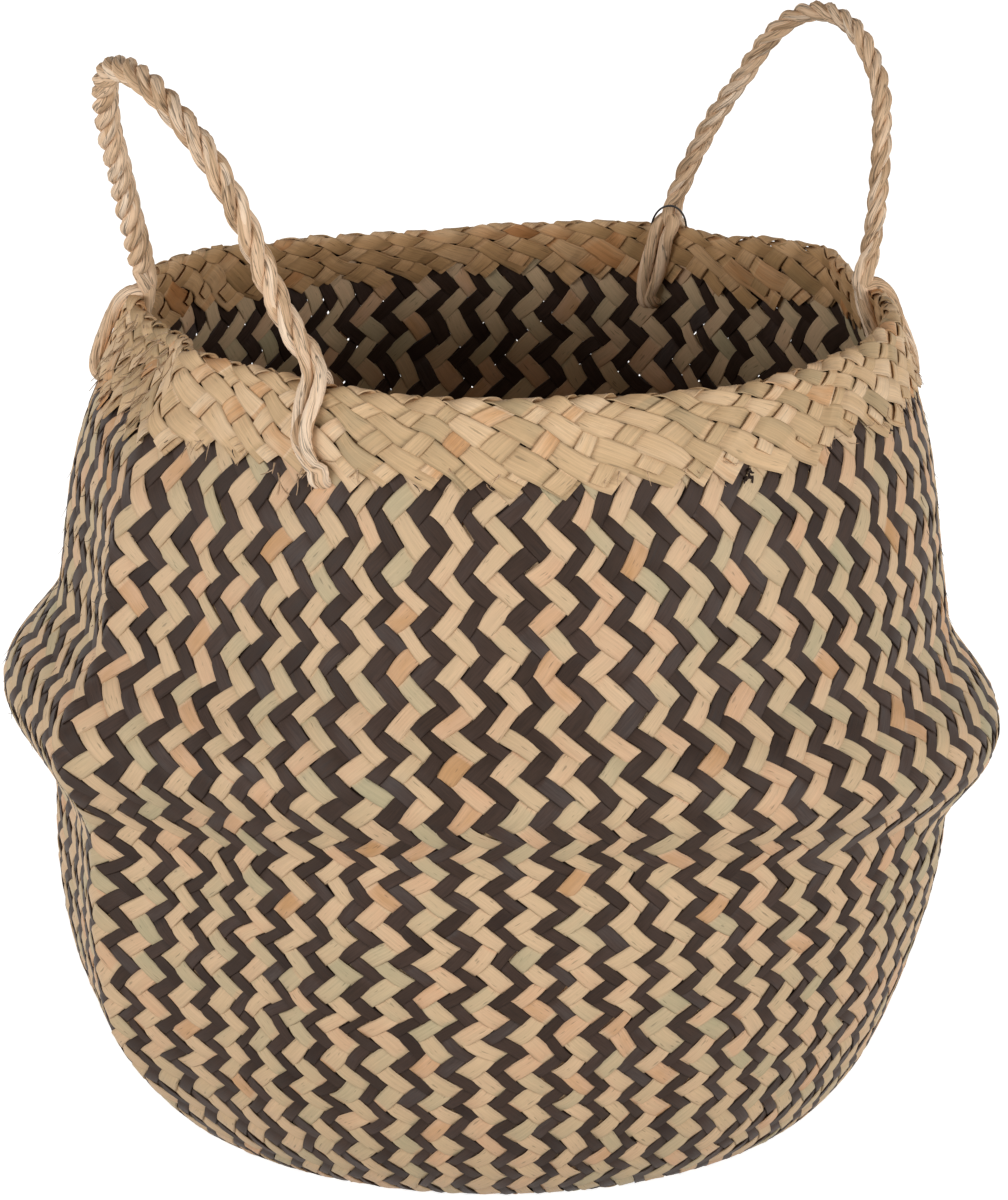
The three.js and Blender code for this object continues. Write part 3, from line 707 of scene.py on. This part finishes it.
# A smooth curve through the points, as points at an even distance
def evenPath(points, step):
    points = np.asarray(points, float)
    padded = np.vstack([2 * points[0] - points[1], points, 2 * points[-1] - points[-2]])
    t = np.linspace(0, 1, 12, endpoint=False)[:, None]
    smooth = []
    for a, b, c, d in zip(padded, padded[1:], padded[2:], padded[3:]):
        curve = 2 * b + (c - a) * t + (2 * a - 5 * b + 4 * c - d) * t ** 2
        smooth.append(0.5 * (curve + (3 * b - a - 3 * c + d) * t ** 3))
    smooth = np.vstack([*smooth, points[-1:]])
    length = np.concatenate([[0], np.cumsum(np.linalg.norm(np.diff(smooth, axis=0), axis=1))])
    even = np.linspace(0, length[-1], int(length[-1] / step) + 1)
    return np.stack([np.interp(even, length, smooth[:, k]) for k in range(3)], -1)


def pivot(foot):
    point = onWall(np.radians(foot["angle"]), 0, -foot["inset"])
    point[2] = handle["pivotHeight"]
    return point


# Centre line from the back foot to the front foot, in a plane that leans out
def handleLine(side):
    back = pivot(side["feet"]["back"])
    front = pivot(side["feet"]["front"])
    middle = (back + front) / 2
    along = back - front
    half = np.linalg.norm(along) / 2
    along /= np.linalg.norm(along)
    out = middle * (1, 1, 0) - along * (middle @ along)
    out /= np.linalg.norm(out)
    lean = np.radians(side["lean"])
    up = np.array([0, 0, np.cos(lean)]) + out * np.sin(lean)
    stretch = half / side["arch"][0][0]
    return evenPath([middle + along * u * stretch + up * v for u, v in side["arch"]], 1.0)


# The strands of one foot: down outside, through the wall and up inside; the third ply ends at the border
def footLegs(foot):
    angle = np.radians(foot["angle"])
    inset = foot["inset"]
    bend = handle["bend"]
    depth, along = foot["hole"]
    legs = []
    for sign, outside, inside in zip(strandSides, foot["outside"], foot["inside"]):
        through = [(depth - bend * (1 - np.sin(t)), bend * np.cos(t), along + sign * 1.6)
                   for t in np.linspace(0.1, np.pi - 0.1, 6)]
        places = [*outside, *through, *inside[::-1], (-8.5, -1 - inset, sign * 0.5)]
        legs.append(np.array([onWall(angle, *place) for place in places]))
    legs.append(np.array([onWall(angle, -5, -3 - inset, 0), onWall(angle, -1.5, -1 - inset, 0)]))
    return legs


# One path for each ply: up through a back foot, round the rope and down through the front foot
def plyPaths(side):
    line = handleLine(side)
    tangent = np.gradient(line, axis=0)
    tangent /= np.linalg.norm(tangent, axis=1)[:, None]
    normal = np.cross(tangent[0], [0.3, 0.9, 0.1])
    normals = []
    for t in tangent:
        normal = normal - t * (normal @ t)
        normal /= np.linalg.norm(normal)
        normals.append(normal)
    normals = np.array(normals)
    binormals = np.cross(tangent, normals)
    turns = np.cumsum(1 / np.linspace(*side["twist"], len(line)))
    offset = side["ply"] * handle["offset"]
    helices = []
    for k in range(3):
        lay = turn * (turns + k / 3)
        spokes = normals * np.cos(lay)[:, None] + binormals * np.sin(lay)[:, None]
        helices.append(line + offset * spokes)
    skip = handle["skip"]

    # which leg each ply meets, so that the plies move least
    def nearest(ends, legs):
        orders = itertools.permutations(range(3))
        return min(orders, key=lambda order: sum(np.linalg.norm(ends[k] - legs[order[k]][0])
                                                 for k in range(3)))

    backLegs = footLegs(side["feet"]["back"])
    frontLegs = footLegs(side["feet"]["front"])
    backOrder = nearest([helix[skip] for helix in helices], backLegs)
    frontOrder = nearest([helix[-1 - skip] for helix in helices], frontLegs)
    paths = []
    for k in range(3):
        rope = helices[k][skip:-skip:3]
        paths.append(evenPath(np.vstack([backLegs[backOrder[k]][::-1], rope, frontLegs[frontOrder[k]]]), 1.3))
    return paths


# Paths in mm as one curve object's data, with a radius at each point
def curveData(name, paths, radiusAt):
    data = bpy.data.curves.new(name, "CURVE")
    data.dimensions = "3D"
    for path in paths:
        spline = data.splines.new("POLY")
        spline.points.add(len(path) - 1)
        spline.points.foreach_set("co", np.hstack([path * mm, np.ones((len(path), 1))]).ravel())
        spline.points.foreach_set("radius", np.asarray(radiusAt(path)) * mm)
    return data


# Cord tree: a tube along each line, ridged by its fibres
def cordTree():
    tree, given = newTree("seagrassCord", {"Int": ["Sides"], "Float": ["Ridge", "FibreTwist"],
                                           "Material": ["Finish"]})
    spline = addNode(tree, "GeometryNodeSplineParameter")
    lines = addNode(tree, "GeometryNodeStoreNamedAttribute", given["Geometry"], None, "along",
                    spline["Length"], data_type="FLOAT", domain="POINT")[0]
    ring = addNode(tree, "GeometryNodeCurvePrimitiveCircle", given["Sides"], named={"Radius": 1.0})["Curve"]
    ring = addNode(tree, "GeometryNodeStoreNamedAttribute", ring, None, "around",
                   spline["Factor"], data_type="FLOAT", domain="POINT")[0]
    radius = addNode(tree, "GeometryNodeInputRadius")[0]
    tube = addNode(tree, "GeometryNodeCurveToMesh", lines, ring, radius, True)["Mesh"]
    along, around = [addNode(tree, "GeometryNodeInputNamedAttribute", name, data_type="FLOAT")[0]
                     for name in ("along", "around")]
    angle = addNode(tree, "ShaderNodeMath", around, turn, operation="MULTIPLY")[0]
    angle = addNode(tree, "ShaderNodeMath", along, given["FibreTwist"], angle, operation="MULTIPLY_ADD")[0]
    cosine = addNode(tree, "ShaderNodeMath", angle, operation="COSINE")[0]
    sine = addNode(tree, "ShaderNodeMath", angle, operation="SINE")[0]
    length = addNode(tree, "ShaderNodeMath", along, 1 / mm, operation="MULTIPLY")[0]
    fibre = addNode(tree, "ShaderNodeCombineXYZ", cosine, sine, length)[0]
    ridgePlace = addNode(tree, "ShaderNodeVectorMath", fibre, bladeScale, operation="MULTIPLY")[0]
    ridge = addNode(tree, "ShaderNodeTexNoise", ridgePlace, None, 1.0, 1.0, 0.5)[0]
    ridge = addNode(tree, "ShaderNodeMath", ridge, 0.5, operation="SUBTRACT")[0]
    ridge = addNode(tree, "ShaderNodeMath", ridge, operation="ABSOLUTE")[0]
    ridge = addNode(tree, "ShaderNodeMapRange", ridge, 0.0, 0.12, -0.5, 0.5)[0]
    ridge = addNode(tree, "ShaderNodeMath", ridge, given["Ridge"], operation="MULTIPLY")[0]
    normal = addNode(tree, "GeometryNodeInputNormal")[0]
    offset = addNode(tree, "ShaderNodeVectorMath", normal, named={3: ridge}, operation="SCALE")[0]
    made = addNode(tree, "GeometryNodeStoreNamedAttribute", tube, None, "fibre", fibre,
                   data_type="FLOAT_VECTOR", domain="POINT")[0]
    made = addNode(tree, "GeometryNodeSetPosition", made, None, None, offset)[0]
    made = addNode(tree, "GeometryNodeSetMaterial", made, None, given["Finish"])[0]
    addNode(tree, "NodeGroupOutput", made)
    return tree


seagrassCord = cordTree()
ropePieces = {}
for name, side in handles.items():
    paths = plyPaths(side)

    # thicker in the legs than in the rope, and tapered at the ends
    def strandRadius(path):
        legs = 1 - smoothstep(path[:, 2], 346, 362)
        radius = side["ply"] + (handle["legRadius"] - side["ply"]) * legs
        end = np.minimum(np.arange(len(path)), np.arange(len(path))[::-1])
        return radius * (0.45 + 0.55 * smoothstep(end, -1, 5))

    data = curveData(name + "HandleLines", paths, strandRadius)
    ropePieces[name] = grow(name + "Handle", data, seagrassCord, Sides=24, Ridge=0.5 * mm, FibreTwist=60.0,
                            Finish=twistedSeagrass)
print("handles laid")


# Thread ring round the right handle's back foot
thread = {"radius": 0.45, "width": 15, "middle": 1.0, "swing": 12, "reach": 9.5}


foot = onWall(np.radians(handles["right"]["feet"]["back"]["angle"]), 0, 0)
ring = np.array([(thread["width"] / 2 * np.sin(t), thread["reach"] * np.cos(t),
                  thread["middle"] - thread["swing"] * np.cos(t)) for t in np.linspace(0, turn, 33)])
path = evenPath(foot + ring, 1.0)
data = curveData("threadLine", [path], lambda path: np.full(len(path), thread["radius"]))
threadRing = grow("threadRing", data, seagrassCord, Sides=8, Ridge=0.0, FibreTwist=0.0, Finish=waxedThread)


# Loose ends: fibres that stand off the border, the left crease and the wall beside it
# Each patch: how many, angle range, depth range, length, stand-off and thickness
fibrePatches = {
    "borderFibres": (twistedSeagrass, 4, [
        (90, (0, 360), (27, 33), (3, 9), (0.5, 2), 0.3),
        (70, (176, 214), (2, 30), (5, 12), (1, 3.4), 0.34),
        (12, (236, 246), (28, 38), (5, 11), (1, 3), 0.4),
        (26, (-6, 16), (-2, 30), (5, 11), (0.6, 2.4), 0.3),
    ]),
    "darkFibres": (dyedFibre, 8, [
        (24, (0, 360), (29, 35), (3, 7), (0.5, 2), 0.26),
        (90, (176, 216), (20, 190), (3, 9), (0.6, 2.6), 0.16),
        (9, (303, 305.5), (34, 38), (2, 4), (0.6, 1.6), 0.8),
        (9, (334, 336.5), (32, 36), (2, 4), (0.6, 1.6), 0.8),
        (40, (-20, 12), (30, 170), (3, 8), (0.4, 1.8), 0.15),
    ]),
}
fibrePieces = []
for name, (finish, seed, patches) in fibrePatches.items():
    random = np.random.default_rng(seed)
    lines = []
    radii = []
    for count, angles, depths, lengths, stands, radius in patches:
        for _ in range(count):
            angle = np.radians(random.uniform(*angles))
            depth = random.uniform(*depths)
            length = random.uniform(*lengths)
            stand = random.uniform(*stands)
            heading = random.normal(0, 0.7)
            curl = random.uniform(-1.2, 1.2)
            t = np.linspace(0, 1, 7)
            bearing = heading + curl * t
            down = depth + length * np.cumsum(np.cos(bearing)) / len(t)
            aside = length * np.cumsum(np.sin(bearing)) / len(t)
            outside = 3.2 if depth < border["outside"] + 2 else 0.9
            lines.append(np.array([onWall(angle, d, outside + stand * u ** 1.4, a)
                                   for d, a, u in zip(down, aside, t)]))
            radii.append(radius)
    data = curveData(name + "Lines", lines, lambda path: np.linspace(1, 0.35, len(path)))
    for spline, radius in zip(data.splines, radii):
        for point in spline.points:
            point.radius *= radius
    fibrePieces.append(grow(name, data, seagrassCord, Sides=6, Ridge=0.0, FibreTwist=0.0, Finish=finish))
print("loose fibres set")

# What moves with what
for piece in wallPieces:
    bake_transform(piece)
    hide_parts("woven_bowl", "belly_fold", "upper_wall")
for piece, slot in zip(fibrePieces, ("natural_plait", "two_tone_plait")):
    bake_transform(piece)
for piece in basePieces:
    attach(piece, "bowl")
for piece in borderPieces:
    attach(piece, "upper")
    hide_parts("rim_border")
for name, piece in ropePieces.items():
    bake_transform(piece)
    loops = [f"{name}_{foot}_loop_{end}" for foot in ("front", "back") for end in "ab"]
    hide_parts(name + "_handle_rope", *loops)
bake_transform(threadRing)
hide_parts("thread_ring")

# Floor, light and background, in metres
studio = {"floor": 6, "skyLight": 0.25, "skyTint": "#fff1e2", "nearGlow": 0.85, "bounce": 0.08}
floorMesh = bpy.data.meshes.new("floor")
s = studio["floor"]
floorMesh.from_pydata([(-s, -s, 0), (s, -s, 0), (s, s, 0), (-s, s, 0)], [], [(0, 1, 2, 3)])
floor = bpy.data.objects.new("floor", floorMesh)
scene.collection.objects.link(floor)


# 1 for what the camera sees directly, in a reflection or through glass
def seenRays(tree):
    rays = addNode(tree, "ShaderNodeLightPath")
    seen = addNode(tree, "ShaderNodeMath", rays["Is Camera Ray"], rays["Is Glossy Ray"],
                   operation="MAXIMUM")[0]
    return addNode(tree, "ShaderNodeMath", seen, rays["Is Transmission Ray"], operation="MAXIMUM")[0]


# White paper: matt, it keeps a soft shadow, gives light back from below and is pure white farther away
material, tree = newMaterial("whitePaper")
place = addNode(tree, "ShaderNodeTexCoord")["Object"]
distance = addNode(tree, "ShaderNodeVectorMath", place, operation="LENGTH")["Value"]
white = addNode(tree, "ShaderNodeMapRange", distance, 0.3, 0.8, studio["nearGlow"], 1.0)[0]
glow = addNode(tree, "ShaderNodeMapRange", seenRays(tree), 0, 1, studio["bounce"], white)[0]
paper = addNode(tree, "ShaderNodeBsdfDiffuse", hexColour("#dedede"))[0]
lit = addNode(tree, "ShaderNodeEmission", (1, 1, 1, 1), glow)[0]
both = addNode(tree, "ShaderNodeAddShader", paper, lit)[0]
addNode(tree, "ShaderNodeOutputMaterial", both)
floorMesh.materials.append(material)

world = bpy.data.worlds.new("studio")
scene.world = world
world.use_nodes = True
tree = world.node_tree
tree.nodes.clear()
seen = seenRays(tree)
strength = addNode(tree, "ShaderNodeMapRange", seen, 0, 1, studio["skyLight"], 1.0)[0]
tint = addNode(tree, "ShaderNodeMix", data_type="RGBA",
               named={0: seen, 6: hexColour(studio["skyTint"]), 7: (1, 1, 1, 1)})[2]
sky = addNode(tree, "ShaderNodeBackground", tint, strength)[0]
addNode(tree, "ShaderNodeOutputWorld", sky)

# Two low soft boxes in front, so that the mouth stays dark
lamps = {
    "leftLamp": {"place": (-1.65, -1.47, 0.64), "size": (1.6, 0.5), "power": 23.8},
    "rightLamp": {"place": (1.65, -1.47, 0.57), "size": (1.6, 0.5), "power": 24.2},
}
aim = Vector((0, 0, 0.2))
for name, lamp in lamps.items():
    data = bpy.data.lights.new(name, "AREA")
    data.shape = "RECTANGLE"
    data.energy = lamp["power"]
    data.size, data.size_y = lamp["size"]
    item = bpy.data.objects.new(name, data)
    item.location = lamp["place"]
    item.rotation_euler = (aim - Vector(lamp["place"])).to_track_quat("-Z", "Y").to_euler()
    scene.collection.objects.link(item)
scene.view_settings.view_transform = "Standard"
print("studio ready")
